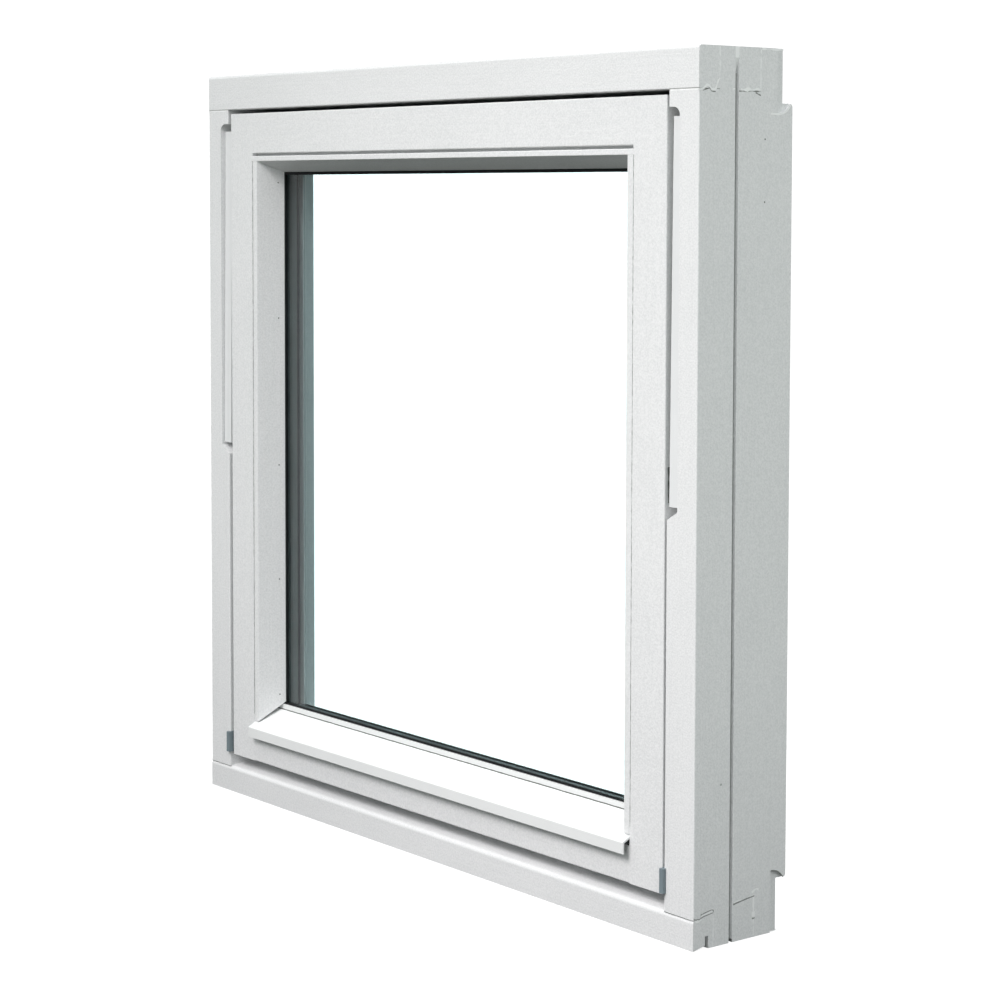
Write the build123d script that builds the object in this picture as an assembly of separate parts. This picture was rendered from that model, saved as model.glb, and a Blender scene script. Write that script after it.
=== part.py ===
from build123d import *
import os
from math import cos, radians, tan

# Top swing window: a square timber frame, an outward-opening sash and a double-glazed unit.
# Millimetres, +Z up. The outside faces -Y, and +X is to the right seen from outside.
# The origin is on the sill's underside, in the middle of the frame's width and depth.

# Frame
frame_width = 890
frame_height = 890
frame_depth = 116
jamb_width = 43
head_height = 42
rebate_depth = 83.5
stop_rise = 15
frame_arris = 1.5
head_top_arris = 3.5

# Sill: a sloped top with a round nose, and a bevel and a flashing slot underneath
sill_front_height = 31.3
sill_slope = 7.2
sill_nose_round = 5
sill_stop_height = 61.5
sill_bevel_rise = 3.6
slot_start = 16.1
slot_width = 4.6
slot_depth = 12.8

# Comb joints at the frame's corners, the fixing groove, the lining tongue and the relief at its ends
finger_depth = 27.5
groove_start = 48.4
groove_width = 5
groove_depth = 6
tongue_depth = 11.3
tongue_width = 15
tongue_inset = 54
tongue_round = 4
relief_reach = 10
relief_drop = 10
relief_round = 20
relief_depth = 3

# Sash
sash_setback = 1.5
sash_depth = 80
sash_gap_side = 4.5
sash_gap_top = 5
sash_gap_bottom = 5.7
sash_arris = 1.5
stile_width = 49
top_rail_height = 49
bottom_rail_height = 50
rail_front_height = 41
top_lip_rise = 17.5
side_lip_rise = 21
sash_lip_depth = 14.5
bottom_lip_rise = 14.8
bottom_lip_slope = 21
tenon_start = 22
tenon_depth = 16

# Glazing, from the sash's inner lip outwards
tape_depth = 3
pane_depth = 4
spacer_depth = 20
gasket_depth = 3
unit_edge_gap = 4
spacer_width = 13
tape_width = 12
tape_show = 2
gasket_width = 12
gasket_show = 2.3
gasket_show_top = 3.6

# Glazing beads
bead_front_width = 9
bead_splay = 13
bead_arris = 1
bead_joint_arris = 1.8
shadow_groove_width = 3
shadow_groove_depth = 8
bead_drip_gap = 2

# Aluminium drip profile along the bottom of the glass
drip_reach = 9.2
drip_slope = 28.7
drip_lip_height = 12
drip_wall = 1.8
drip_upright_rise = 20
drip_upright_depth = 2.5
drip_step = 6.4
drip_nose_round = 1.2
drip_shadow_width = 1.2
drip_shadow_depth = 2

# Seals between the sash and the stop
seal_width = 7
seal_inset = 1.8
seal_round = 0.8

# Hinge arms in pockets of the jambs
pocket_below_head = 17
pocket_length = 394
pocket_width = 16
pocket_depth = 24
pocket_top_round = 9
pocket_foot_round = 3
pocket_foot_slope = 30
pocket_foot_gap = 4
arm_end_gap = 9
arm_setback_top = 6.5
arm_setback_bottom = 3.5
arm_depth = 14
arm_clearance = 0.5
pin_radius = 4
pin_from_end = 14
pin_grip = 12
pin_hold = 6
pin_clearance = 0.15

# Guide blocks at the sash's lower corners
guide_overhang = 3.1
guide_width = 6
guide_height = 25
guide_rise = 2.6
guide_proud = 4.2
guide_inset = 10
guide_clearance = 0.2
guide_round = 1

# Handle on the inside of the bottom rail
plate_width = 66
plate_height = 30
plate_depth = 9
plate_round = 8
neck_radius = 8
neck_length = 22
lever_length = 120
lever_height = 18
lever_depth = 11

# Places in the frame's depth
front = -frame_depth / 2
back = frame_depth / 2
stop_face = front + rebate_depth
groove_front = front + groove_start
sash_front = front + sash_setback
sash_back = sash_front + sash_depth
sash_lip_front = sash_back - sash_lip_depth
inner_pane_back = sash_lip_front - tape_depth
inner_pane_front = inner_pane_back - pane_depth
outer_pane_back = inner_pane_front - spacer_depth
outer_pane_front = outer_pane_back - pane_depth
bead_back = outer_pane_front - gasket_depth

# Places across the width, on the right-hand side
side = frame_width / 2
jamb_inside = side - jamb_width
stop_inside = jamb_inside - stop_rise
sash_side = jamb_inside - sash_gap_side
rebate_side = sash_side - stile_width
lip_side = rebate_side - side_lip_rise
unit_side = rebate_side - unit_edge_gap
bead_side = rebate_side - bead_front_width - bead_splay
pocket_side = jamb_inside + pocket_width

# Places up the height
head_underside = frame_height - head_height
head_stop_underside = head_underside - stop_rise
sill_at_sash = sill_front_height + tan(radians(sill_slope)) * (sash_back - front)
sill_at_stop = sill_front_height + tan(radians(sill_slope)) * rebate_depth
sash_bottom = sill_at_sash + sash_gap_bottom
sash_top = head_underside - sash_gap_top
rebate_bottom = sash_bottom + bottom_rail_height
rebate_top = sash_top - top_rail_height
lip_bottom = rebate_bottom + bottom_lip_rise
lip_bottom_inside = lip_bottom - tan(radians(bottom_lip_slope)) * sash_lip_depth
lip_top = rebate_top - top_lip_rise
unit_bottom = rebate_bottom + unit_edge_gap
unit_top = rebate_top - unit_edge_gap
bead_top_edge = rebate_top - bead_front_width - bead_splay
drip_top = rebate_bottom + drip_upright_rise
pocket_top = head_underside - pocket_below_head
arm_bottom = pocket_top - pocket_length
arm_top = pocket_top - arm_end_gap


def section(points, rounds=None):
    """A closed face through the points, with the numbered corners rounded to a radius."""
    face = make_face(Polyline(*points, close=True))
    for corner, radius in (rounds or {}).items():
        nearest = face.vertices().sort_by_distance(Vector(*points[corner], 0))[0]
        face = fillet(nearest, radius)
    return face


def upright(face, bottom, top):
    """An x, y section made into a post."""
    return Pos(0, 0, bottom) * extrude(face, top - bottom)


def crosswise(face, left, right):
    """A y, z section made into a rail."""
    return Pos(left, 0, 0) * extrude(Plane.YZ * face, right - left)


def inward(face, outer, inner):
    """An x, z outline made into a plate between two places in the depth."""
    return Pos(0, inner, 0) * extrude(Plane.XZ * face, inner - outer)


def block(left, right, outer, inner, bottom, top):
    """A box between two places along each axis."""
    middle = Pos((left + right) / 2, (outer + inner) / 2, (bottom + top) / 2)
    return middle * Box(right - left, inner - outer, top - bottom)


def mirrored(solid):
    """The left-hand twin of a right-hand piece."""
    return mirror(solid, about=Plane.YZ)


def layers(bands):
    """Slabs across the whole window, one for each band of the depth."""
    slabs = [block(-frame_width, frame_width, start, end, -frame_height, 2 * frame_height)
             for start, end in bands]
    return Part() + slabs


def ring(half_width, bottom, top, bar, outer, inner, bulge=None):
    """Four bars round an opening: the level ones run through and the upright ones stand between."""
    rounds = {0: bulge, 3: bulge} if bulge else None
    post = section([(half_width - bar, outer), (half_width - bar, inner),
                    (half_width, inner), (half_width, outer)], rounds)
    right = upright(post, bottom + bar, top - bar)
    bars = {"left": mirrored(right), "right": right}
    for place, low in (("top", top - bar), ("bottom", bottom)):
        rail = section([(outer, low), (inner, low), (inner, low + bar), (outer, low + bar)], rounds)
        bars[place] = crosswise(rail, -half_width, half_width)
    return bars


# Frame sections. The plain sections cut the neighbours, so that each joint keeps an open arris.
jamb_points = [
    (jamb_inside, front),
    (side, front),
    (side, back),
    (stop_inside, back),
    (stop_inside, stop_face),
    (jamb_inside, stop_face),
]
jamb_rounds = {0: frame_arris, 1: frame_arris, 3: frame_arris, 4: frame_arris}
head_points = [
    (front, head_underside),
    (stop_face, head_underside),
    (stop_face, head_stop_underside),
    (back, head_stop_underside),
    (back, frame_height),
    (front, frame_height),
]
head_rounds = {0: frame_arris, 2: frame_arris, 3: frame_arris, 5: head_top_arris}
slot_front = front + slot_start
slot_back = slot_front + slot_width
sill_outline = [
    (front, 0),
    (front, sill_front_height),
    (stop_face, sill_at_stop),
    (stop_face, sill_stop_height),
    (back, sill_stop_height),
    (back, 0),
]
sill_points = sill_outline + [
    (slot_back, 0),
    (slot_back, slot_depth),
    (slot_front, slot_depth),
    (slot_front, sill_bevel_rise),
]
sill_rounds = {1: sill_nose_round, 3: frame_arris, 4: frame_arris}

# Fingers of the comb joints: the head and sill fill some layers of each corner, the jambs the others.
rail_layers = layers([(front, front + finger_depth), (groove_front, stop_face)])
post_layers = layers([(front + finger_depth, groove_front), (stop_face, back)])
plain_jamb = upright(section(jamb_points), 0, frame_height)
plain_head = crosswise(section(head_points), -side, side)
plain_sill = crosswise(section(sill_outline), -side, side)
posts_in_rails = (plain_jamb + mirrored(plain_jamb)) & post_layers
rails_in_posts = (plain_head + plain_sill) & rail_layers

groove = block(side - groove_depth, side, groove_front, groove_front + groove_width, 0, frame_height)
grooves = groove + mirrored(groove)
tongue_back = back + tongue_depth


def rail_tongue(bottom, top):
    """The tongue for the inside lining along the back of the head or the sill."""
    end = side - tongue_inset
    outline = [(-end, back), (-end, tongue_back), (end, tongue_back), (end, back)]
    return upright(section(outline, {1: tongue_round, 2: tongue_round}), bottom, top)


def frame_rail(points, rounds, tongue):
    """The head or the sill, cut for the jambs' fingers."""
    rail = crosswise(section(points, rounds), -side, side)
    return rail - posts_in_rails - grooves + tongue


frame_head = frame_rail(head_points, head_rounds, rail_tongue(frame_height - tongue_width, frame_height))
frame_sill = frame_rail(sill_points, sill_rounds, rail_tongue(0, tongue_width))

# Hinge pocket: square to the jamb's front, with a round upper corner and a sloped foot.
pocket_start = jamb_inside - sash_gap_side / 2
foot_rise = tan(radians(pocket_foot_slope))
foot_top = arm_bottom - pocket_foot_gap
pocket_outline = section(
    [
        (pocket_start, foot_top - (pocket_side - pocket_start) * foot_rise),
        (pocket_side, foot_top),
        (pocket_side, pocket_top),
        (pocket_start, pocket_top),
    ],
    {1: pocket_foot_round, 2: pocket_top_round},
)
pocket = inward(pocket_outline, front, front + pocket_depth)

# Hinge arm: it leans in the pocket, with its top end further in than its foot.
arm_inside = jamb_inside + arm_clearance
arm_outside = pocket_side - arm_clearance
arm_foot_front = front + arm_setback_bottom
arm_head_front = front + arm_setback_top
arm_outline = [
    (arm_foot_front, arm_bottom),
    (arm_foot_front + arm_depth, arm_bottom),
    (arm_head_front + arm_depth, arm_top),
    (arm_head_front, arm_top),
]


def hinge_pin(start, end, rise, radius):
    """A pin across the arm at a height above the arm's foot."""
    lean = (arm_head_front - arm_foot_front) * rise / (arm_top - arm_bottom)
    place = Pos((start + end) / 2, arm_foot_front + lean + arm_depth / 2, arm_bottom + rise)
    return place * Rot(0, 90, 0) * Cylinder(radius, end - start)


def hinge_pins(radius):
    """The arm's two pins: the lower one holds the sash, and the upper one turns in the jamb."""
    lower = hinge_pin(sash_side - pin_grip, arm_inside + pin_hold, pin_from_end, radius)
    upper_rise = arm_top - arm_bottom - pin_from_end
    upper = hinge_pin(arm_outside - pin_hold, pocket_side + pin_grip, upper_rise, radius)
    return Part() + [lower, upper]


hinge_pins_right = hinge_pins(pin_radius)
pin_bores = hinge_pins(pin_radius + pin_clearance)
hinge_arm_right = crosswise(section(arm_outline), arm_inside, arm_outside) - pin_bores

# Guide block, let into the jamb's front edge and reaching over the gap beside the sash
guide_start = jamb_inside - guide_overhang
guide_end = guide_start + guide_width
guide_bottom = sash_bottom + guide_rise
guide_top = guide_bottom + guide_height
guide_outline = [
    (guide_start, front - guide_proud),
    (guide_end, front - guide_proud),
    (guide_end, front + guide_inset),
    (guide_start, front + guide_inset),
]
guide_right = upright(section(guide_outline, {0: guide_round, 1: guide_round}), guide_bottom, guide_top)
guide_seat = block(
    jamb_inside,
    guide_end + guide_clearance,
    front,
    front + guide_inset + guide_clearance,
    guide_bottom - guide_clearance,
    guide_top + guide_clearance,
)

tongue_points = [
    (back, tongue_inset),
    (tongue_back, tongue_inset),
    (tongue_back, frame_height - tongue_inset),
    (back, frame_height - tongue_inset),
]
jamb_tongue = crosswise(section(tongue_points, {1: tongue_round, 2: tongue_round}), side - tongue_width, side)
jamb_right = upright(section(jamb_points, jamb_rounds), 0, frame_height)
jamb_right = jamb_right - rails_in_posts - grooves + jamb_tongue - pocket - guide_seat - pin_bores

# Relief milled into the outer side at both ends of the tongue, with the cutter's round end
relief_start = back - relief_reach
relief_foot = frame_height - tongue_inset - relief_drop
relief_outline = [
    (relief_start, relief_foot),
    (tongue_back, relief_foot),
    (tongue_back, frame_height),
    (relief_start, frame_height),
]
upper_relief = crosswise(section(relief_outline, {1: relief_round}), side - relief_depth, side)
lower_relief = mirror(upper_relief, about=Plane.XY.offset(frame_height / 2))
jamb_right = jamb_right - upper_relief - lower_relief

# Seals on the stop, squeezed by the closed sash
frame_seals = ring(sash_side - seal_inset, sash_bottom + seal_inset, sash_top - seal_inset,
                   seal_width, sash_back, stop_face, seal_round)

# Sash sections. The rails' tenons pass through the stiles in one layer.
stile_points = [
    (rebate_side, sash_front),
    (sash_side, sash_front),
    (sash_side, sash_back),
    (lip_side, sash_back),
    (lip_side, sash_lip_front),
    (rebate_side, sash_lip_front),
]
stile_rounds = {1: sash_arris, 2: sash_arris, 3: sash_arris}
top_rail_points = [
    (sash_front, rebate_top),
    (sash_lip_front, rebate_top),
    (sash_lip_front, lip_top),
    (sash_back, lip_top),
    (sash_back, sash_top),
    (sash_front, sash_top),
]
top_rail_rounds = {0: sash_arris, 3: sash_arris, 4: sash_arris, 5: sash_arris}
rail_front_top = sash_bottom + rail_front_height
rail_slope_depth = (bottom_rail_height - rail_front_height) / tan(radians(drip_slope))
bottom_rail_points = [
    (sash_front, sash_bottom),
    (sash_front, rail_front_top),
    (sash_front + rail_slope_depth, rebate_bottom),
    (sash_lip_front, rebate_bottom),
    (sash_lip_front, lip_bottom),
    (sash_back, lip_bottom_inside),
    (sash_back, sash_bottom),
]
bottom_rail_rounds = {0: sash_arris, 1: sash_arris, 5: sash_arris, 6: sash_arris}

tenon_front = sash_front + tenon_start
tenon_back = tenon_front + tenon_depth
tenon_layer = layers([(tenon_front, tenon_back)])
cheek_layers = layers([(sash_front, tenon_front), (tenon_back, sash_back)])
plain_stile = upright(section(stile_points), sash_bottom, sash_top)
plain_rails = (crosswise(section(top_rail_points), -sash_side, sash_side)
               + crosswise(section(bottom_rail_points), -sash_side, sash_side))
stiles_in_rails = (plain_stile + mirrored(plain_stile)) & cheek_layers
rails_in_stiles = plain_rails & tenon_layer


def sash_rail(points, rounds):
    """A sash rail with a tenon at each end."""
    return crosswise(section(points, rounds), -sash_side, sash_side) - stiles_in_rails


stile_right = upright(section(stile_points, stile_rounds), sash_bottom, sash_top)
stile_right = stile_right - rails_in_stiles - pin_bores

# Glazing unit: two panes on a spacer, with a gasket under the beads and tape on the sash's lip
outer_pane = block(-unit_side, unit_side, outer_pane_front, outer_pane_back, unit_bottom, unit_top)
inner_pane = block(-unit_side, unit_side, inner_pane_front, inner_pane_back, unit_bottom, unit_top)
spacers = ring(unit_side, unit_bottom, unit_top, spacer_width, outer_pane_back, inner_pane_front)
tape_hidden = tape_width - tape_show
tapes = ring(lip_side + tape_hidden, lip_bottom - tape_hidden, lip_top + tape_hidden,
             tape_width, inner_pane_back, sash_lip_front)
gasket_hidden = gasket_width - gasket_show
gasket_top = bead_top_edge + gasket_width - gasket_show_top
gaskets = ring(bead_side + gasket_hidden, drip_top - gasket_hidden, gasket_top,
               gasket_width, bead_back, outer_pane_front)

# Drip profile: an upright against the gasket, a sloped plate and a hanging lip
drip_fall = tan(radians(drip_slope))
drip_nose = sash_front - drip_reach
upright_front = bead_back - drip_upright_depth
slope_end = upright_front - drip_shadow_width
slope_top = drip_top - drip_step
shadow_floor = slope_top - drip_shadow_depth
nose_top = slope_top - (slope_end - drip_nose) * drip_fall
lip_foot = nose_top - drip_lip_height
plate_drop = drip_wall / cos(radians(drip_slope))
lip_back = drip_nose + drip_wall
drip_points = [
    (drip_nose, lip_foot),
    (drip_nose, nose_top),
    (slope_end, slope_top),
    (slope_end, shadow_floor),
    (upright_front, shadow_floor),
    (upright_front, drip_top),
    (bead_back, drip_top),
    (bead_back, rebate_bottom),
    (upright_front, rebate_bottom),
    (upright_front, shadow_floor - drip_wall),
    (slope_end, shadow_floor - drip_wall),
    (lip_back, nose_top + drip_wall * drip_fall - plate_drop),
    (lip_back, lip_foot),
]
drip_profile = crosswise(section(drip_points, {1: drip_nose_round}), -rebate_side, rebate_side)

# Glazing beads: the top one runs through, and the side ones stop over the drip profile's slope.
top_bead_points = [
    (sash_front + shadow_groove_depth, rebate_top),
    (sash_front + shadow_groove_depth, rebate_top - shadow_groove_width),
    (sash_front, rebate_top - shadow_groove_width),
    (sash_front, rebate_top - bead_front_width),
    (bead_back, bead_top_edge),
    (bead_back, rebate_top),
]
top_bead_rounds = {2: bead_arris, 3: bead_arris}
plain_top_bead = [
    (sash_front, rebate_top),
    (sash_front, rebate_top - bead_front_width),
    (bead_back, bead_top_edge),
    (bead_back, rebate_top),
]
side_bead_points = [
    (rebate_side, sash_front),
    (rebate_side - bead_front_width, sash_front),
    (bead_side, bead_back),
    (rebate_side, bead_back),
]
side_bead_rounds = {0: bead_joint_arris, 1: bead_arris}
bead_foot_front = nose_top + drip_reach * drip_fall + bead_drip_gap
bead_foot_back = drip_top + bead_drip_gap + drip_upright_depth * drip_fall
under_beads = section([
    (sash_front, rebate_bottom - bottom_rail_height),
    (sash_front, bead_foot_front),
    (bead_back, bead_foot_back),
    (bead_back, rebate_bottom - bottom_rail_height),
])
bead_top = crosswise(section(top_bead_points, top_bead_rounds), -rebate_side, rebate_side)
bead_right = upright(section(side_bead_points, side_bead_rounds), rebate_bottom, rebate_top)
bead_right = bead_right - crosswise(section(plain_top_bead), -rebate_side, rebate_side)
bead_right = bead_right - crosswise(under_beads, -rebate_side, rebate_side)

# Handle: a base plate on the bottom rail and a lever that lies level when the sash is locked
handle_rise = (sill_stop_height + lip_bottom_inside) / 2
plate_back = sash_back + plate_depth
lever_front = plate_back + neck_length
handle_plate = inward(Pos(0, handle_rise) * RectangleRounded(plate_width, plate_height, plate_round),
                      sash_back, plate_back)
neck = inward(Pos(0, handle_rise) * Circle(neck_radius), plate_back, lever_front)
lever_middle = (lever_length - lever_height) / 2
lever = inward(Pos(lever_middle, handle_rise) * SlotOverall(lever_length, lever_height),
               lever_front, lever_front + lever_depth)

nodes = {
    "frame_head": frame_head,
    "frame_sill": frame_sill,
    "frame_left_jamb": mirrored(jamb_right),
    "frame_right_jamb": jamb_right,
    "sash_top_rail": sash_rail(top_rail_points, top_rail_rounds),
    "sash_bottom_rail": sash_rail(bottom_rail_points, bottom_rail_rounds),
    "sash_left_stile": mirrored(stile_right),
    "sash_right_stile": stile_right,
    "glazing_bead_top": bead_top,
    "glazing_bead_left": mirrored(bead_right),
    "glazing_bead_right": bead_right,
    "drip_profile": drip_profile,
    "outer_pane": outer_pane,
    "inner_pane": inner_pane,
    "hinge_arm_left": mirrored(hinge_arm_right),
    "hinge_arm_right": hinge_arm_right,
    "hinge_pins_left": mirrored(hinge_pins_right),
    "hinge_pins_right": hinge_pins_right,
    "guide_block_left": mirrored(guide_right),
    "guide_block_right": guide_right,
    "handle_plate": handle_plate,
    "handle_lever": neck + lever,
}
rings = {"frame_seal": frame_seals, "spacer": spacers, "outer_gasket": gaskets, "glazing_tape": tapes}
for name, bars in rings.items():
    for place, bar in bars.items():
        nodes[f"{name}_{place}"] = bar

os.makedirs("parts", exist_ok=True)
for name, solid in nodes.items():
    export_step(solid, f"parts/{name}.step")
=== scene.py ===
"""Looks for the top swing window: painted timber, glass, hardware, small marks, light and camera."""

import math

import bmesh
import bpy
from mathutils import Matrix, Vector, noise


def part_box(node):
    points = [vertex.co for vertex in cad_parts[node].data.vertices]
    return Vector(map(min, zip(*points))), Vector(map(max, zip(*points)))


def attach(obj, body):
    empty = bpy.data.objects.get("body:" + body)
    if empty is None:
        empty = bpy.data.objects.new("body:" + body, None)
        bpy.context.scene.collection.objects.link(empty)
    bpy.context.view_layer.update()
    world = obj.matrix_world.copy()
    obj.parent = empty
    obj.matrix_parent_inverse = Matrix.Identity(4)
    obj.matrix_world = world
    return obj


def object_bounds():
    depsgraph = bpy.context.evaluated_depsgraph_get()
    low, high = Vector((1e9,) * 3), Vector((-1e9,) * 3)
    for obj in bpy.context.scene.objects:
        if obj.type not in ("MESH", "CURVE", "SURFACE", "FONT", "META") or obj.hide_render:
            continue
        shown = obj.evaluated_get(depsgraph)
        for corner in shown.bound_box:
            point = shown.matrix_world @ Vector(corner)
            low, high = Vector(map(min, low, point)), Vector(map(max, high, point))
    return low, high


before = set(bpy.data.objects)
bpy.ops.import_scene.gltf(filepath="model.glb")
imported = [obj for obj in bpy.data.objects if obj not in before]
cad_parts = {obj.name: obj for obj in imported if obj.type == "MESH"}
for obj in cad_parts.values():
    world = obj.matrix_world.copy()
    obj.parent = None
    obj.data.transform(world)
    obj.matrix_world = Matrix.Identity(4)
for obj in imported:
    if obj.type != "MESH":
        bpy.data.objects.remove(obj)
cad_low, cad_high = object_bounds()
MM = 0.001

# Camera, fitted to the frame's corners in the photograph
CAMERA_PLACE = (2.2094, -1.7064, 0.7441)
CAMERA_AZIMUTH = 51.494
CAMERA_PITCH = 3.561
CAMERA_ROLL = 0.127
CAMERA_LENS = 89.44
CAMERA_SENSOR = 36
CAMERA_SHIFT_DOWN = 0.15

# Light: a soft room that is brightest on the right-hand side, and a softbox above the front
ROOM_BRIGHT_TOWARDS = (0.8, -0.1, 0.6)
ROOM_DIM_LIGHT = (0.625, 0.672, 0.665)
ROOM_BRIGHT_LIGHT = (1.145, 1.196, 1.184)
ROOM_IN_GLOSS = 0.08
BACKDROP = 1.12
BACKDROP_BEHIND_GLASS = 2.6
LAMP_PLACE = (0.42, -2.90, 2.90)
LAMP_AIM = (0.42, 0.0, -0.40)
LAMP_SIZE = 1.8
LAMP_POWER = 18.2
LAMP_COLOUR = (1.0, 0.955, 0.965)
LAMP_SPREAD = 60

# Colours, as linear light
WHITE_PAINT = (0.850, 0.852, 0.856)
WHITE_PAINT_SHADE = (0.768, 0.778, 0.782)
WHITE_PAINT_SPECK = (0.560, 0.574, 0.578)
WHITE_COAT = (0.84, 0.852, 0.848)
# Whiter paint for ridges and runs, partly a painted highlight where they would catch the light
RIDGE_WHITE_AND_HIGHLIGHT = (0.95, 0.955, 0.955)
BLACK_RUBBER = (0.012, 0.015, 0.016)
SPACER_GREY = (0.15, 0.175, 0.175)
GUIDE_GREY = (0.20, 0.25, 0.275)
SEAM_SHADE = (0.26, 0.27, 0.26)
HOLE_SHADE = (0.17, 0.18, 0.17)
GROOVE_SHADE = (0.54, 0.55, 0.54)
FOAM_GREY = (0.50, 0.54, 0.54)
ZINC = (0.52, 0.53, 0.54)
GLASS_TINT_AND_SHADE = (0.75, 0.84, 0.845)
FLOOR_PALE = (0.95, 0.95, 0.94)
# Painted shade: the floor's colour for bounced light is nearly black near the window
FLOOR_BOUNCE_NEAR = (0.004, 0.004, 0.004)
FLOOR_BOUNCE_FAR = (0.28, 0.29, 0.27)

# Frame construction, measured in from the front face and up from the sill's underside
FINGER_DEPTH = 27.5 * MM
GROOVE_FRONT = 48.4 * MM
GROOVE_WIDTH = 5.0 * MM
STOP_DEPTH = 83.5 * MM
FRAME_DEPTH = 116 * MM
JAMB_WIDTH = 43 * MM
STOP_WIDTH = 58 * MM
HEAD_UNDERSIDE = 848 * MM
SILL_FRONT_HEIGHT = 31.3 * MM
SILL_SLOPE = math.tan(math.radians(7.2))
RELIEF_MIDDLE = (107.3 * MM, 846 * MM)
RELIEF_ROUND = 20 * MM
RELIEF_TURN = 57.6
RELIEF_STEPS = 8
DRIP_STEP = 6.4 * MM
DRIP_LIP_HEIGHT = 12 * MM
DRIP_UPRIGHT_DEPTH = 2.5 * MM

# Textures, as features to the metre, and the depth of their relief
GRAIN_ACROSS = 420.0
GRAIN_ALONG = 14.0
GRAIN_RELIEF = 0.12 * MM
SPRAY_FINENESS = 520.0
SPRAY_RELIEF = 0.25 * MM
CLOUD_FINENESS = 7.0
DRIFT_FINENESS = 24.0
GLASS_INDEX = 1.5


# Materials

def material(name, rough, metal=0.0):
    """A new node material with its Principled shader."""
    made = bpy.data.materials.new(name)
    made.use_nodes = True
    shader = made.node_tree.nodes["Principled BSDF"]
    shader.inputs["Roughness"].default_value = rough
    shader.inputs["Metallic"].default_value = metal
    return made, made.node_tree, shader


def add(tree, kind, **values):
    """A new shader node with some of its inputs set."""
    node = tree.nodes.new(kind)
    for socket, value in values.items():
        node.inputs[socket.replace("_", " ")].default_value = value
    return node


def texture_space(tree, stretch=(1, 1, 1)):
    """Places on the object in metres, stretched along the axes."""
    place = tree.nodes.new("ShaderNodeTexCoord")
    mapping = add(tree, "ShaderNodeMapping", Scale=stretch)
    tree.links.new(place.outputs["Object"], mapping.inputs["Vector"])
    return mapping.outputs["Vector"]


def noise_texture(tree, space, scale, detail=3.0, rough=0.55):
    """A noise value over the object, with scale in features to the metre."""
    made = add(tree, "ShaderNodeTexNoise", Scale=scale, Detail=detail, Roughness=rough)
    tree.links.new(space, made.inputs["Vector"])
    return made.outputs["Fac"]


def blend_colour(tree, factor, low, high, start=0.3, end=0.7):
    """A colour that runs from one value to another as a noise goes from start to end."""
    ramp = tree.nodes.new("ShaderNodeValToRGB")
    ramp.color_ramp.elements[0].position = start
    ramp.color_ramp.elements[0].color = (*low, 1)
    ramp.color_ramp.elements[1].position = end
    ramp.color_ramp.elements[1].color = (*high, 1)
    tree.links.new(factor, ramp.inputs["Fac"])
    return ramp.outputs["Color"]


def mix_colours(tree, factor, first, second):
    """Two colour sockets mixed by a fixed share."""
    mix = tree.nodes.new("ShaderNodeMix")
    mix.data_type = "RGBA"
    mix.inputs["Factor"].default_value = factor
    tree.links.new(first, mix.inputs["A"])
    tree.links.new(second, mix.inputs["B"])
    return mix.outputs["Result"]


def bump(tree, shader, layers):
    """Layers of fine relief, each a height socket with its depth in metres."""
    previous = None
    for height, depth in layers:
        node = add(tree, "ShaderNodeBump", Strength=1.0, Distance=depth)
        tree.links.new(height, node.inputs["Height"])
        if previous:
            tree.links.new(previous, node.inputs["Normal"])
        previous = node.outputs["Normal"]
    tree.links.new(previous, shader.inputs["Normal"])


def vary_roughness(tree, shader, factor, low, high):
    """Roughness that follows a noise."""
    spread = add(tree, "ShaderNodeMapRange", From_Min=0.3, From_Max=0.7, To_Min=low, To_Max=high)
    tree.links.new(factor, spread.inputs["Value"])
    tree.links.new(spread.outputs["Result"], shader.inputs["Roughness"])


def timber_paint(name, grain):
    """White paint on timber: faint grain along the member, a sprayed texture and cloudy shade."""
    made, tree, shader = material(name, 0.4)
    stretch = [GRAIN_ACROSS] * 3
    stretch[grain] = GRAIN_ALONG
    grain_space = texture_space(tree, stretch)
    plain_space = texture_space(tree)
    streaks = noise_texture(tree, grain_space, 1.0, 4.0)
    spray = noise_texture(tree, plain_space, SPRAY_FINENESS, 2.0)
    clouds = noise_texture(tree, plain_space, CLOUD_FINENESS, 4.0)
    cloudy = blend_colour(tree, clouds, WHITE_PAINT_SHADE, WHITE_PAINT)
    speckled = blend_colour(tree, spray, WHITE_PAINT_SPECK, WHITE_PAINT)
    streaked = blend_colour(tree, streaks, WHITE_PAINT_SHADE, WHITE_PAINT, 0.2, 0.55)
    colour = mix_colours(tree, 0.35, mix_colours(tree, 0.6, cloudy, speckled), streaked)
    tree.links.new(colour, shader.inputs["Base Color"])
    vary_roughness(tree, shader, clouds, 0.34, 0.48)
    bump(tree, shader, [(streaks, GRAIN_RELIEF), (spray, SPRAY_RELIEF)])
    return made


def coat(name, colour, rough, texture_scale, depth, metal=0.0, shade=0.9, gloss=0.5):
    """A sprayed or moulded surface with a fine texture and a slight drift of shade."""
    made, tree, shader = material(name, rough, metal)
    shader.inputs["Specular IOR Level"].default_value = gloss
    space = texture_space(tree)
    fine = noise_texture(tree, space, texture_scale, 2.0)
    broad = noise_texture(tree, space, DRIFT_FINENESS, 4.0)
    darker = tuple(part * shade for part in colour)
    tree.links.new(blend_colour(tree, broad, darker, colour), shader.inputs["Base Color"])
    vary_roughness(tree, shader, broad, rough * 0.9, min(rough * 1.15, 1.0))
    bump(tree, shader, [(fine, depth)])
    return made


def clear_glass():
    """Clear float glass with a green tint, made darker than the glass's own as painted shade on what is
    seen through it.
    """
    made, _, shader = material("window_glass", 0.0)
    shader.inputs["Base Color"].default_value = (*GLASS_TINT_AND_SHADE, 1)
    shader.inputs["Transmission Weight"].default_value = 1.0
    shader.inputs["IOR"].default_value = GLASS_INDEX
    return made


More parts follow.
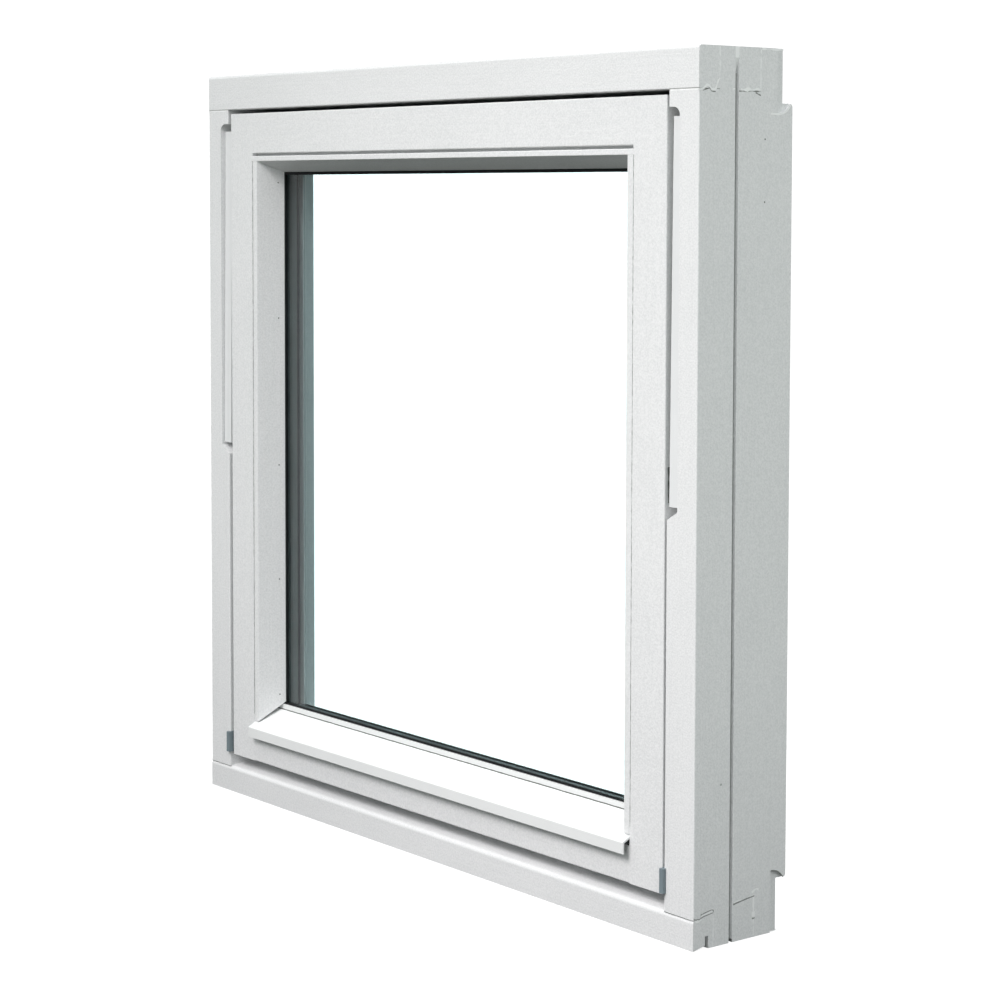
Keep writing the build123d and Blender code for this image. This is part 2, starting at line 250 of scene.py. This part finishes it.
paint_level = timber_paint("paint_level_timber", 0)
paint_upright = timber_paint("paint_upright_timber", 2)
white_coat = coat("white_powder_coat", WHITE_COAT, 0.32, 900.0, 0.00006, shade=0.97)
arm_coat = coat("white_arm_coat", WHITE_PAINT_SHADE, 0.36, 700.0, 0.0001, shade=0.97)
rubber = coat("black_rubber", BLACK_RUBBER, 0.55, 800.0, 0.0001, shade=0.7, gloss=0.25)
spacer_bar = coat("spacer_bar", SPACER_GREY, 0.6, 600.0, 0.00008, shade=0.8, gloss=0.2)
guide_plastic = coat("guide_plastic", GUIDE_GREY, 0.42, 500.0, 0.0001, shade=0.85)
foam = coat("foam_tape", FOAM_GREY, 0.8, 1200.0, 0.0003, gloss=0.2)
zinc = coat("zinc_plate", ZINC, 0.35, 900.0, 0.00005, metal=0.9)
seam_shade = coat("joint_shade", SEAM_SHADE, 0.7, 400.0, 0.0001)
hole_shade = coat("hole_shade", HOLE_SHADE, 0.8, 600.0, 0.0001)
groove_shade = coat("groove_shade", GROOVE_SHADE, 0.7, 400.0, 0.0001)
# Partly real paint and partly a painted highlight, for ridges and runs drawn flat
ridge_and_highlight_paint = coat("paint_ridge", RIDGE_WHITE_AND_HIGHLIGHT, 0.3, 500.0, 0.0001, shade=0.97)
glass = clear_glass()

LEVEL_TIMBER = ("frame_head", "frame_sill", "sash_top_rail", "sash_bottom_rail", "glazing_bead_top")
FINISHES = (
    (LEVEL_TIMBER, paint_level),
    (("frame_left_jamb", "frame_right_jamb"), paint_upright),
    (("sash_left_stile", "sash_right_stile"), paint_upright),
    (("glazing_bead_left", "glazing_bead_right"), paint_upright),
    (("drip_profile", "handle_plate", "handle_lever"), white_coat),
    (("hinge_arm_left", "hinge_arm_right"), arm_coat),
    (("hinge_pins_left", "hinge_pins_right"), zinc),
    (("guide_block_left", "guide_block_right"), guide_plastic),
    (("outer_pane", "inner_pane"), glass),
)
RING_FINISHES = {"frame_seal": rubber, "outer_gasket": rubber, "spacer": spacer_bar, "glazing_tape": foam}
RING_PLACES = ("top", "bottom", "left", "right")


def finish_node(name, made):
    """Gives a carried-over node its material."""
    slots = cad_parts[name].data.materials
    slots.clear()
    slots.append(made)


for names, made in FINISHES:
    for name in names:
        finish_node(name, made)
for ring, made in RING_FINISHES.items():
    for place in RING_PLACES:
        finish_node(f"{ring}_{place}", made)
# The tape along the bottom of the glass is black
finish_node("glazing_tape_bottom", rubber)
for pane in ("outer_pane", "inner_pane"):
    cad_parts[pane].visible_shadow = False


# Small pieces on the surfaces

def mesh_piece(name, shape, made):
    """A mesh from a bmesh, fixed to the window."""
    data = bpy.data.meshes.new(name)
    shape.to_mesh(data)
    shape.free()
    piece = bpy.data.objects.new(name, data)
    bpy.context.scene.collection.objects.link(piece)
    data.materials.append(made)
    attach(piece, "root")
    return piece


SIDE = cad_high.x
TOP = cad_high.z
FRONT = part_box("frame_head")[0].y
LIFT = 0.03 * MM
LINE_WIDTH = 0.6 * MM
LINE_STEP = 2.5 * MM
LINE_WANDER = 0.25 * MM
WANDER_LENGTH = 9 * MM
RAGGED_LENGTH = 5 * MM
RAGGED_START = Vector((7, 3, 1))
WANDER_SEED = 5

# A fixed seed gives the lines the same wander on every run
noise.seed_set(WANDER_SEED)


def ribbon(shape, places, normal, width=LINE_WIDTH, ragged=0.35, lift=LIFT):
    """A thin strip through some places, just proud of the face it lies on, with an uneven width."""
    normal = Vector(normal)
    edges = []
    for index, place in enumerate(places):
        along = places[min(index + 1, len(places) - 1)] - places[max(index - 1, 0)]
        across = along.normalized().cross(normal)
        unevenness = noise.noise(place / RAGGED_LENGTH + RAGGED_START)
        half = width * max(0.05, 0.5 + ragged * unevenness)
        middle = place + normal * lift
        edges.append([shape.verts.new(middle + across * half), shape.verts.new(middle - across * half)])
    for first, second in zip(edges, edges[1:]):
        shape.faces.new((first[0], second[0], second[1], first[1]))


def steps(start, end):
    """Places along a slightly wandering line."""
    start, end = Vector(start), Vector(end)
    count = max(2, round((end - start).length / LINE_STEP))
    wander = []
    for index in range(count + 1):
        place = start.lerp(end, index / count)
        sway = noise.noise_vector(place / WANDER_LENGTH) * LINE_WANDER
        wander.append(place + sway * (0 < index < count))
    return wander


def depth(value):
    """A place in the depth, measured in from the frame's front face."""
    return FRONT + value


def sill_height(value):
    """The height of the sill's sloped top at a depth."""
    return SILL_FRONT_HEIGHT + SILL_SLOPE * value


class SideFace:
    """Draws on one outer side of the frame, in depth from the front and height, both in millimetres."""

    def __init__(self, side, lift=LIFT):
        self.lift = lift
        self.x = side * SIDE
        self.outward = (side, 0, 0)
        self.shape = bmesh.new()

    def place(self, along, up):
        """A place on the side."""
        return Vector((self.x, depth(along * MM), up * MM))

    def line(self, start, end, width=LINE_WIDTH, ragged=0.35):
        """A joint line from one place to another."""
        places = self.flat(steps(self.place(*start), self.place(*end)))
        ribbon(self.shape, places, self.outward, width, ragged, self.lift)

    def curl(self, points, width=LINE_WIDTH, ragged=0.35, base=None):
        """A stroke through some points, with heights above a base that may slope."""
        places = [self.place(along, up + (base(along) if base else 0)) for along, up in points]
        finer = [places[0]]
        for first, second in zip(places, places[1:]):
            finer += [first.lerp(second, 0.5), second]
        ribbon(self.shape, finer, self.outward, width, ragged, self.lift)

    def flat(self, places):
        """Places brought back onto the side's plane."""
        return [Vector((self.x, place.y, place.z)) for place in places]


def head_joint(_):
    """The height of the head's joint in millimetres."""
    return HEAD_UNDERSIDE / MM


def sill_joint(along):
    """The height of the sill's joint in millimetres at a depth."""
    return sill_height(along * MM) / MM


def relief_arc(gap):
    """Points in millimetres along the upper relief's round end, at a distance outside it."""
    points = []
    along, up = (value / MM for value in RELIEF_MIDDLE)
    reach = RELIEF_ROUND / MM + gap
    for step in range(RELIEF_STEPS + 1):
        turn = math.radians(RELIEF_TURN * step / RELIEF_STEPS)
        points.append((along + reach * math.sin(turn), up - reach * math.cos(turn)))
    return points


def joint_lines(name, side):
    """Dark lines of the comb joints on one outer side, and painted shadows under the paint's ridges and
    drops and at the lower relief's round end.
    """
    face = SideFace(side)
    finger, stop = FINGER_DEPTH / MM, STOP_DEPTH / MM
    groove_end = (GROOVE_FRONT + GROOVE_WIDTH) / MM
    face.line((0, head_joint(0)), (finger, head_joint(0)))
    # Painted shadows under the paint ridges along the head's joint
    face.line((groove_end, head_joint(0) - 1.6), (stop, head_joint(0) - 1.2), 1.3 * MM, 0.9)
    face.curl([(5, -2.2), (10, -0.6), (14, 0.6), (16.5, -2.6), (22, -2.8)], 0.9 * MM, 0.6, head_joint)
    face.curl([(76, -2.6), (80, -4.0), (83, -5.2)], 1.2 * MM, 0.5, head_joint)
    face.curl([(0.5, 1.4), (4, -0.3), (8, -1.1), (11, -0.5), (14, 0.1), (27, 0)], 1.0 * MM, 0.5, sill_joint)
    face.curl([(10, 2.7), (16, 3.3), (25, 3.6), (27.3, 2.4), (27.2, 0.4)], 0.9 * MM, 0.5, sill_joint)
    face.curl([(groove_end + 1, -0.2), (60, 0), (72, 0.2), (stop, 0)], 1.4 * MM, 0.4, sill_joint)
    # Painted shadow under a drop of paint
    face.curl([(80.6, 19.4), (82.4, 18.8), (84.2, 19.5)], 1.2 * MM, 0.2)
    # Painted shadow at the lower relief's round end
    face.curl([(along, TOP / MM - up) for along, up in relief_arc(-0.6)], 1.2 * MM, 0.3)
    face.curl([(36, 161), (36.6, 163)], 1.4 * MM, 0.2)
    return mesh_piece(name, face.shape, seam_shade)


def ridges_and_highlights(name, side):
    """Ridges and runs of paint along the joints of one outer side, drawn flat in a whiter colour as painted
    highlights.
    """
    face = SideFace(side, 2 * LIFT)
    finger, stop, top = FINGER_DEPTH / MM, STOP_DEPTH / MM, TOP / MM
    front_curl = [(0, -1.4), (5, -0.5), (8.5, 1.8), (10.5, 3.6), (13.5, 3.0), (15.5, 0.6), (17, -0.8)]
    front_curl += [(21.5, -0.8), (23, 1.6), (24, 5), (25.5, 8), (finger, 10.5)]
    face.curl(front_curl, 2.1 * MM, 0.4, head_joint)
    face.line((finger, head_joint(0) + 11), (finger, top - 1), 0.8 * MM, 1.3)
    face.curl([(45.2, 0.2), (46.6, 0.6), (48, 0.1)], 1.2 * MM, 0.3, head_joint)
    back_curl = [(56, 0.4), (62, -0.3), (68, 0.8), (74, 0.2), (79, 1.2), (stop, 0.2)]
    face.curl(back_curl, 2.6 * MM, 0.9, head_joint)
    face.line((stop - 0.4, head_joint(0) + 2), (stop - 0.4, top - 2), 0.8 * MM, 1.5)
    face.line((stop + 1, top - 1.4), (114, top - 1.4), 1.3 * MM, 0.9)
    face.curl([(3, -2.1), (8.5, -2.7), (11.5, -2.1)], 2.0 * MM, 0.4, sill_joint)
    face.curl([(11, 1.4), (20, 1.7), (26, 1.8)], 1.1 * MM, 0.5, sill_joint)
    face.line((finger - 0.5, 1), (finger - 0.5, sill_joint(finger) - 2), 0.8 * MM, 1.3)
    face.curl([(55, 1.5), (60, 1.7), (66, 1.6)], 0.9 * MM, 0.5, sill_joint)
    face.curl([(80, 4.2), (84, 6.2), (87, 6.4), (89.5, 4.6)], 1.9 * MM, 0.6, sill_joint)
    face.line((82.4, 26.2), (82.4, sill_joint(82.4) - 1), 2.2 * MM, 0.5)
    face.curl([(82.4, 20.6), (82.4, 23.4), (82.4, 26)], 4.0 * MM, 0.2)
    face.line((82.4, 2), (82.4, 18), 0.9 * MM, 1.2)
    face.line((105, 1.6), (114, 1.6), 1.4 * MM, 0.6)
    # Painted highlight along the upper relief's round end
    face.curl([(97, RELIEF_MIDDLE[1] / MM - RELIEF_ROUND / MM - 0.6)] + relief_arc(0.9), 2.0 * MM, 0.3)
    return mesh_piece(name, face.shape, ridge_and_highlight_paint)


GROOVE_SHADE_DEPTH = 4.7 * MM
GROOVE_SHADE_WIDTH = 2.3 * MM
PAINT_RUN_SET_IN = 0.2 * MM
PAINT_RUN_DEPTH = 5.9 * MM
PAINT_RUN_FOOT = 26 * MM
PAINT_RUN_LIP = 11 * MM


def groove_painted_shade(name, side):
    """Painted shade on the inner edge of the fixing groove, deep in the groove."""
    shape = bmesh.new()
    wall = depth(GROOVE_FRONT + GROOVE_WIDTH)
    x = side * (SIDE - GROOVE_SHADE_DEPTH)
    ends = [(x, wall, 2 * MM), (x, wall, TOP - PAINT_RUN_FOOT)]
    places = [Vector((x, wall, place.z)) for place in steps(*ends)]
    ribbon(shape, places, (0, -1, 0), GROOVE_SHADE_WIDTH, 0.3)
    return mesh_piece(name, shape, groove_shade)


def groove_foot_mark(name, side):
    """A dark mark at the foot of the fixing groove."""
    shape = bmesh.new()
    wall = depth(GROOVE_FRONT + GROOVE_WIDTH)
    x = side * (SIDE - 3 * MM)
    ribbon(shape, [Vector((x, wall, up * MM)) for up in (0.2, 1.6, 3.2)], (0, -1, 0), 5.2 * MM, 0.1)
    return mesh_piece(name, shape, hole_shade)


def groove_paint(name, side):
    """Paint that has run into the groove's upper end, with a sloped foot."""
    shape = bmesh.new()
    near, far = depth(GROOVE_FRONT) + LIFT, depth(GROOVE_FRONT + GROOVE_WIDTH) - LIFT
    mouth, floor = side * (SIDE - PAINT_RUN_SET_IN), side * (SIDE - PAINT_RUN_DEPTH)
    foot, lip = TOP - PAINT_RUN_FOOT, TOP - PAINT_RUN_LIP
    outline = [(mouth, TOP - LIFT), (floor, TOP - LIFT), (floor, foot), (mouth, lip)]
    first = [shape.verts.new((x, near, z)) for x, z in outline]
    second = [shape.verts.new((x, far, z)) for x, z in outline]
    for index in range(4):
        after = (index + 1) % 4
        shape.faces.new((first[index], first[after], second[after], second[index]))
    shape.faces.new(first[::-1])
    shape.faces.new(second)
    bmesh.ops.recalc_face_normals(shape, faces=shape.faces[:])
    return mesh_piece(name, shape, ridge_and_highlight_paint)


def front_joint_lines():
    """Dark lines on the front where the jambs meet the head and the sill: painted shade in the joints."""
    shape = bmesh.new()
    for side in (-1, 1):
        outer, inner = side * SIDE, side * (SIDE - JAMB_WIDTH)
        y = depth(0.35 * MM)
        for height, width in (
            (HEAD_UNDERSIDE + 0.5 * MM, 1.1 * MM),
            (SILL_FRONT_HEIGHT - 0.3 * MM, 0.8 * MM),
        ):
            places = steps((outer, y, height), (inner, y, height))
            ribbon(shape, [Vector((place.x, y, place.z)) for place in places], (0, -1, 0), width, 0.2)
    return mesh_piece("front_joint_lines", shape, seam_shade)


def front_ridge_highlights():
    """Painted highlights of the paint ridges under the head's joints on the front, drawn as flat white
    strips.
    """
    shape = bmesh.new()
    for side in (-1, 1):
        outer, inner = side * (SIDE - 1.5 * MM), side * (SIDE - JAMB_WIDTH + 2 * MM)
        height = HEAD_UNDERSIDE - 0.9 * MM
        places = steps((outer, FRONT, height), (inner, FRONT, height))
        ribbon(shape, [Vector((place.x, FRONT, place.z)) for place in places], (0, -1, 0), 1.0 * MM, 0.4)
    return mesh_piece("front_ridge_highlights", shape, ridge_and_highlight_paint)


def top_joint_lines():
    """Lines of the comb joints on the head's top."""
    shape = bmesh.new()
    up = (0, 0, 1)
    for side in (-1, 1):
        outer = side * SIDE
        inner, stop = side * (SIDE - JAMB_WIDTH), side * (SIDE - STOP_WIDTH)
        for start, end, reach in ((FINGER_DEPTH, GROOVE_FRONT, inner), (STOP_DEPTH, FRAME_DEPTH, stop)):
            for first, second in (
                ((reach, depth(start)), (reach, depth(end))),
                ((reach, depth(start)), (outer, depth(start))),
            ):
                places = steps((*first, TOP), (*second, TOP))
                ribbon(shape, [Vector((place.x, place.y, TOP)) for place in places], up)
        places = steps((inner, depth(GROOVE_FRONT), TOP), (outer, depth(GROOVE_FRONT), TOP))
        ribbon(shape, [Vector((place.x, place.y, TOP)) for place in places], up)
    return mesh_piece("top_joint_lines", shape, seam_shade)


DRIP_SEAM_WIDTH = 1.3 * MM
DRIP_SEAM_RISE = 0.35 * MM
DRIP_SEAM_INSET = 3 * MM


def drip_gap_shade():
    """Painted shade in the narrow seam between the drip profile's slope and its upright."""
    shape = bmesh.new()
    low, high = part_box("drip_profile")
    y = high.y - DRIP_UPRIGHT_DEPTH
    z = high.z - DRIP_STEP + DRIP_SEAM_RISE
    ends = (low.x + DRIP_SEAM_INSET, y, z), (high.x - DRIP_SEAM_INSET, y, z)
    places = [Vector((place.x, y, place.z)) for place in steps(*ends)]
    ribbon(shape, places, (0, -1, 0), DRIP_SEAM_WIDTH, 0.15)
    return mesh_piece("drip_gap_shade", shape, hole_shade)


def drip_hollow_shade(name, side):
    """A dark block in the hollow end of the drip profile: painted shade for the hollow's dark inside."""
    shape = bmesh.new()
    low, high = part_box("drip_profile")
    nose = low.z + DRIP_LIP_HEIGHT
    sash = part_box("sash_left_stile")[0].y - LIFT
    outline = [(low.y + 1.9 * MM, nose - 1.4 * MM), (sash, nose + 2.0 * MM), (sash, nose - 4.4 * MM)]
    ends = [side * (high.x - inset) for inset in (0.6 * MM, 12 * MM)]
    outer, inner = [[shape.verts.new((x, y, z)) for y, z in outline] for x in ends]
    for index in range(3):
        after = (index + 1) % 3
        shape.faces.new((outer[index], outer[after], inner[after], inner[index]))
    shape.faces.new(outer[::-1])
    shape.faces.new(inner)
    bmesh.ops.recalc_face_normals(shape, faces=shape.faces[:])
    return mesh_piece(name, shape, rubber)


BEAD_LINE_WIDTH = 0.7 * MM
BEAD_LINE_FOOT = 8 * MM


def bead_joint_lines():
    """Fine lines where the side beads meet the stiles."""
    shape = bmesh.new()
    for side, hand in ((-1, "left"), (1, "right")):
        low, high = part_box(f"glazing_bead_{hand}")
        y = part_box(f"sash_{hand}_stile")[0].y
        x = (low.x if side < 0 else high.x) + side * BEAD_LINE_WIDTH / 2
        places = steps((x, y, low.z + BEAD_LINE_FOOT), (x, y, high.z))
        ribbon(shape, [Vector((x, y, place.z)) for place in places], (0, -1, 0), BEAD_LINE_WIDTH, 0.5)
    return mesh_piece("bead_joint_lines", shape, seam_shade)


ARM_GAP_DARK = (0.440, 0.476)
ARM_GAP_DEPTH = 5.6 * MM
ARM_GAP_WIDTH = 2.2 * MM


def arm_gap_shade():
    """Dark strips on the sash's sides, deep in the gaps beside the arms' lower ends."""
    shape = bmesh.new()
    for side, hand in ((-1, "left"), (1, "right")):
        low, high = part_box(f"sash_{hand}_stile")
        x, y = (low.x if side < 0 else high.x), low.y + ARM_GAP_DEPTH
        places = [Vector((x, y, place.z)) for place in steps(*[(x, y, z) for z in ARM_GAP_DARK])]
        ribbon(shape, places, (side, 0, 0), ARM_GAP_WIDTH, 0.4)
    return mesh_piece("arm_gap_shade", shape, hole_shade)


SEALANT_WIDTH = 3.4 * MM


def sealant_lines():
    """Black sealant along the spacers' inward faces, next to the inner pane."""
    shape = bmesh.new()
    boxes = {place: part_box(f"spacer_{place}") for place in RING_PLACES}
    y = boxes["top"][1].y - SEALANT_WIDTH / 2
    left, right = boxes["left"][1].x, boxes["right"][0].x
    bottom, top = boxes["bottom"][1].z, boxes["top"][0].z
    for ends, normal in (
        (((left, y, bottom), (left, y, top)), (1, 0, 0)),
        (((right, y, bottom), (right, y, top)), (-1, 0, 0)),
        (((left, y, bottom), (right, y, bottom)), (0, 0, 1)),
        (((left, y, top), (right, y, top)), (0, 0, -1)),
    ):
        ribbon(shape, [Vector(end) for end in ends], normal, SEALANT_WIDTH, 0)
    return mesh_piece("sealant_lines", shape, rubber)


def dot(shape, place, normal, radius, height=LIFT):
    """A small round mark or head on a face."""
    turn = Vector(normal).to_track_quat("Z", "Y").to_matrix().to_4x4()
    middle = Vector(place) + Vector(normal).normalized() * height / 2
    bmesh.ops.create_cone(
        shape, cap_ends=True, segments=16, radius1=radius, radius2=radius, depth=height,
        matrix=Matrix.Translation(middle) @ turn,
    )


BEAD_PIN_HEIGHTS = (0.130, 0.273, 0.414, 0.594, 0.759)
BEAD_FRONT_WIDTH = 9 * MM
BEAD_PIN_SHARE = 0.78
HOLE_RADIUS = 0.9 * MM
NAIL_PLACES = ((89.5 * MM, 738 * MM), (89.5 * MM, 800 * MM))


def pin_holes():
    """Pin holes in the side beads and nail holes in the frame's outer sides."""
    shape = bmesh.new()
    for side, bead in ((-1, "glazing_bead_left"), (1, "glazing_bead_right")):
        low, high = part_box(bead)
        outer, inner = (low.x, high.x) if side < 0 else (high.x, low.x)
        front_edge = outer - side * BEAD_FRONT_WIDTH
        run = Vector((inner - front_edge, high.y - low.y, 0))
        normal = Vector((-side * run.y, -abs(run.x), 0)).normalized()
        for height in BEAD_PIN_HEIGHTS:
            place = Vector((front_edge, low.y, height)) + run * BEAD_PIN_SHARE
            dot(shape, place, normal, HOLE_RADIUS, 2 * LIFT)
        for along, up in NAIL_PLACES:
            dot(shape, (side * SIDE, depth(along), up), (side, 0, 0), HOLE_RADIUS)
    return mesh_piece("pin_holes", shape, hole_shade)


SCREW_INSET = 11 * MM
SCREW_RADIUS = 3.8 * MM
SCREW_HEIGHT = 0.9 * MM
RECESS_REACH = 2.4 * MM
RECESS_WIDTH = 0.9 * MM


def screw_middles():
    """The middles of the handle's two screws, on the plate's face."""
    low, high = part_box("handle_plate")
    z = (low.z + high.z) / 2
    return [Vector((x, high.y, z)) for x in (low.x + SCREW_INSET, high.x - SCREW_INSET)]


def handle_screws():
    """Two screw heads on the handle's plate."""
    shape = bmesh.new()
    for middle in screw_middles():
        dot(shape, middle, (0, 1, 0), SCREW_RADIUS, SCREW_HEIGHT)
    return mesh_piece("handle_screws", shape, zinc)


def screw_recess_shade():
    """Painted shade standing for the cross recesses of the handle's screws."""
    shape = bmesh.new()
    for middle in screw_middles():
        face = middle + Vector((0, SCREW_HEIGHT, 0))
        for reach in (Vector((RECESS_REACH, 0, 0)), Vector((0, 0, RECESS_REACH))):
            ribbon(shape, [face - reach, face + reach], (0, 1, 0), RECESS_WIDTH, 0)
    return mesh_piece("screw_recess_shade", shape, hole_shade)


for side, hand in ((-1, "left"), (1, "right")):
    joint_lines(f"joint_lines_{hand}", side)
    ridges_and_highlights(f"ridges_and_highlights_{hand}", side)
    groove_painted_shade(f"groove_painted_shade_{hand}", side)
    groove_foot_mark(f"groove_foot_mark_{hand}", side)
    drip_hollow_shade(f"drip_hollow_shade_{hand}", side)
    groove_paint(f"groove_paint_{hand}", side)
front_joint_lines()
front_ridge_highlights()
top_joint_lines()
drip_gap_shade()
bead_joint_lines()
arm_gap_shade()
sealant_lines()
pin_holes()
handle_screws()
screw_recess_shade()


# Stage, light and camera

def combine(tree, operation, first, second):
    """A math node on two sockets, or on a socket and a number."""
    node = tree.nodes.new("ShaderNodeMath")
    node.operation = operation
    tree.links.new(first, node.inputs[0])
    if isinstance(second, float):
        node.inputs[1].default_value = second
    else:
        tree.links.new(second, node.inputs[1])
    return node.outputs[0]


def view_rays(tree):
    """Sockets that are one for straight views, for views through glass and for reflections."""
    path = tree.nodes.new("ShaderNodeLightPath").outputs
    seen = combine(tree, "LESS_THAN", path["Diffuse Depth"], 0.5)
    unreflected = combine(tree, "LESS_THAN", path["Glossy Depth"], 0.5)
    out_of_glass = combine(tree, "MULTIPLY", path["Is Transmission Ray"], seen)
    through_glass = combine(tree, "MULTIPLY", out_of_glass, unreflected)
    back_out = combine(tree, "SUBTRACT", out_of_glass, through_glass)
    reflected = combine(tree, "MAXIMUM", path["Is Glossy Ray"], back_out)
    return path["Is Camera Ray"], through_glass, reflected


FLOOR_HALF = 40.0
FLOOR_GLOW = 0.92
FLOOR_SHADOW_SHARE = 0.2
FLOOR_NEAR = 0.6
FLOOR_FAR = 1.3


def floor_bounce(tree):
    """A floor colour for bounced light, with painted shade under and near the window that darkens the light
    bounced onto it.
    """
    place = tree.nodes.new("ShaderNodeTexCoord")
    reach = tree.nodes.new("ShaderNodeVectorMath")
    reach.operation = "LENGTH"
    tree.links.new(place.outputs["Object"], reach.inputs[0])
    share = add(tree, "ShaderNodeMapRange", From_Min=FLOOR_NEAR, From_Max=FLOOR_FAR)
    tree.links.new(reach.outputs["Value"], share.inputs["Value"])
    return blend_colour(tree, share.outputs["Result"], FLOOR_BOUNCE_NEAR, FLOOR_BOUNCE_FAR, 0.0, 1.0)


def pale_floor():
    """A pale floor that keeps a soft shadow of the window."""
    shape = bmesh.new()
    bmesh.ops.create_grid(shape, x_segments=1, y_segments=1, size=FLOOR_HALF)
    data = bpy.data.meshes.new("floor")
    shape.to_mesh(data)
    shape.free()
    floor = bpy.data.objects.new("floor", data)
    bpy.context.scene.collection.objects.link(floor)
    made = bpy.data.materials.new("pale_floor")
    made.use_nodes = True
    tree = made.node_tree
    tree.nodes.clear()
    straight, through_glass, gloss = view_rays(tree)
    shadowed = [FLOOR_SHADOW_SHARE * part for part in FLOOR_PALE]
    shown = add(tree, "ShaderNodeBsdfDiffuse", Color=(*shadowed, 1))
    glow = add(tree, "ShaderNodeEmission", Strength=FLOOR_GLOW)
    pale = tree.nodes.new("ShaderNodeAddShader")
    tree.links.new(shown.outputs[0], pale.inputs[0])
    tree.links.new(glow.outputs[0], pale.inputs[1])
    surface = tree.nodes.new("ShaderNodeBsdfDiffuse")
    tree.links.new(floor_bounce(tree), surface.inputs["Color"])
    dim = add(tree, "ShaderNodeEmission", Strength=ROOM_IN_GLOSS)
    backdrop = add(tree, "ShaderNodeEmission", Strength=BACKDROP_BEHIND_GLASS)
    for ray, shader in ((gloss, dim), (straight, pale), (through_glass, backdrop)):
        choose = tree.nodes.new("ShaderNodeMixShader")
        tree.links.new(ray, choose.inputs[0])
        tree.links.new(surface.outputs[0], choose.inputs[1])
        tree.links.new(shader.outputs[0], choose.inputs[2])
        surface = choose
    output = tree.nodes.new("ShaderNodeOutputMaterial")
    tree.links.new(surface.outputs[0], output.inputs["Surface"])
    data.materials.append(made)


def grey(value):
    """A neutral colour."""
    return (value, value, value, 1)


def white_room():
    """Soft room light, mostly from the right, with a white background behind the window."""
    world = bpy.data.worlds.new("room")
    bpy.context.scene.world = world
    world.use_nodes = True
    tree = world.node_tree
    place = tree.nodes.new("ShaderNodeTexCoord")
    towards = tree.nodes.new("ShaderNodeVectorMath")
    towards.operation = "DOT_PRODUCT"
    towards.inputs[1].default_value = Vector(ROOM_BRIGHT_TOWARDS).normalized()
    tree.links.new(place.outputs["Generated"], towards.inputs[0])
    straight, through_glass, gloss = view_rays(tree)
    light = None
    for share, colour in (
        (towards.outputs["Value"], (*ROOM_BRIGHT_LIGHT, 1)),
        (gloss, grey(ROOM_IN_GLOSS)),
        (straight, grey(BACKDROP)),
        (through_glass, grey(BACKDROP_BEHIND_GLASS)),
    ):
        mix = tree.nodes.new("ShaderNodeMix")
        mix.data_type = "RGBA"
        mix.inputs["A"].default_value = (*ROOM_DIM_LIGHT, 1)
        mix.inputs["B"].default_value = colour
        tree.links.new(share, mix.inputs["Factor"])
        if light:
            tree.links.new(light, mix.inputs["A"])
        light = mix.outputs["Result"]
    tree.links.new(light, tree.nodes["Background"].inputs["Color"])


def facing(place, target):
    """A turn that points a lamp's or camera's -Z from a place to a target."""
    return (Vector(target) - Vector(place)).to_track_quat("-Z", "Y").to_euler()


def soft_lamp():
    """A softbox above the front, aimed low at the right-hand side."""
    light = bpy.data.lights.new("soft_lamp", "AREA")
    light.energy = LAMP_POWER
    light.color = LAMP_COLOUR
    light.size = LAMP_SIZE
    light.spread = math.radians(LAMP_SPREAD)
    lamp = bpy.data.objects.new("soft_lamp", light)
    lamp.location = LAMP_PLACE
    lamp.rotation_euler = facing(LAMP_PLACE, LAMP_AIM)
    lamp.visible_camera = False
    lamp.visible_glossy = False
    bpy.context.scene.collection.objects.link(lamp)


def photo_camera():
    """The camera at the photograph's viewing angle."""
    data = bpy.data.cameras.new("camera")
    data.sensor_width = CAMERA_SENSOR
    data.lens = CAMERA_LENS
    data.shift_y = -CAMERA_SHIFT_DOWN
    camera = bpy.data.objects.new("camera", data)
    bpy.context.scene.collection.objects.link(camera)
    turn = Matrix.Rotation(math.radians(CAMERA_AZIMUTH), 4, "Z")
    tilt = Matrix.Rotation(math.radians(90 - CAMERA_PITCH), 4, "X")
    roll = Matrix.Rotation(math.radians(CAMERA_ROLL), 4, "Z")
    camera.matrix_world = Matrix.Translation(CAMERA_PLACE) @ turn @ tilt @ roll
    bpy.context.scene.camera = camera


pale_floor()
white_room()
soft_lamp()
photo_camera()
bpy.context.scene.view_settings.view_transform = "Standard"
